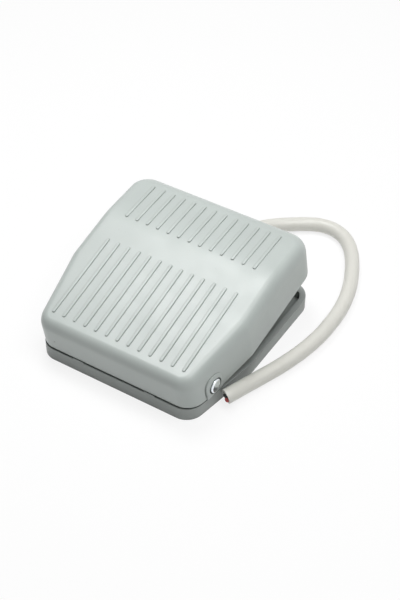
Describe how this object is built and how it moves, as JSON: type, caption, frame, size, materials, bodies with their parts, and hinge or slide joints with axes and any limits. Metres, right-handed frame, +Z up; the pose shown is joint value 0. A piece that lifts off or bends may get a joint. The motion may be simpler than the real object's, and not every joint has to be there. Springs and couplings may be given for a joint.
{
  "type": "foot switch",
  "caption": "Low moulded foot switch with a ribbed rocking pedal on a shallow tray, a steel pivot shaft, a snap-action switch inside and a round cord.",
  "frame": {"origin": "centre of the tray's flat underside", "axes": "+Z up, +Y towards the cord end, +X along the pivot shaft; the pedal is stored at rest, heel up"},
  "size_m": [0.1001, 0.1315, 0.0374],
  "materials": {
    "tray_plastic": "moulded plastic with a fine grain",
    "cover_plastic": "satin moulded plastic with a fine grain",
    "zinc_steel": "turned steel, zinc plated",
    "spring_steel": "blackened spring steel",
    "black_moulding": "moulded plastic",
    "dark_moulding": "moulded plastic",
    "red_plastic": "moulded plastic",
    "copper_alloy": "rolled copper alloy",
    "silver_contact": "pressed silver alloy",
    "brass": "stamped brass",
    "spring_wire": "drawn spring wire",
    "grey_rubber": "soft moulded rubber",
    "cord_jacket": "extruded soft plastic jacket",
    "core_black": "extruded insulation",
    "core_red": "extruded insulation",
    "core_white": "extruded insulation"
  },
  "bodies": {
    "base": {"base_tray": "tray_plastic", "pivot_shaft": "zinc_steel", "shaft_clips": "spring_steel", "switch_case": "black_moulding", "switch_lid": "dark_moulding", "terminal_nc": "brass", "terminal_com": "brass", "terminal_no": "brass", "fixed_contacts": "silver_contact", "switch_screws": "zinc_steel", "switch_nuts": "zinc_steel", "tab_connectors": "brass", "return_spring": "spring_wire", "cord_relief": "grey_rubber", "cord_clamp": "dark_moulding", "clamp_screws": "zinc_steel", "cord": "cord_jacket", "cord_core_ends": "core_red", "lead_black": "core_black", "lead_red": "core_red", "lead_white": "core_white"},
    "pedal": {"pedal_cover": "cover_plastic"},
    "plunger": {"switch_plunger": "red_plastic"},
    "blade": {"contact_blade": "copper_alloy", "moving_contact": "silver_contact"}
  },
  "joints": [
    {"name": "pedal_rock", "type": "hinge", "parent": "base", "child": "pedal", "pos_m": [0, -0.0294, 0.0109], "axis": [-1, 0, 0], "range_deg": [0, 10.5], "stiffness_Nm_per_rad": 0.8, "springref_deg": -20.05, "deforming": ["return_spring"]},
    {"name": "plunger_slide", "type": "slide", "parent": "base", "child": "plunger", "axis": [0, 0, -1], "range_m": [0, 0.0024]},
    {"name": "blade_tilt", "type": "hinge", "parent": "base", "child": "blade", "pos_m": [0, -0.00284, 0.01177], "axis": [1, 0, 0], "range_deg": [0, 9]}
  ],
  "couplings": [
    {"joint": "plunger_slide", "follows": "pedal_rock", "m_per_rad": 0.01203},
    {"joint": "blade_tilt", "follows": "pedal_rock", "ratio": 0.824}
  ]
}
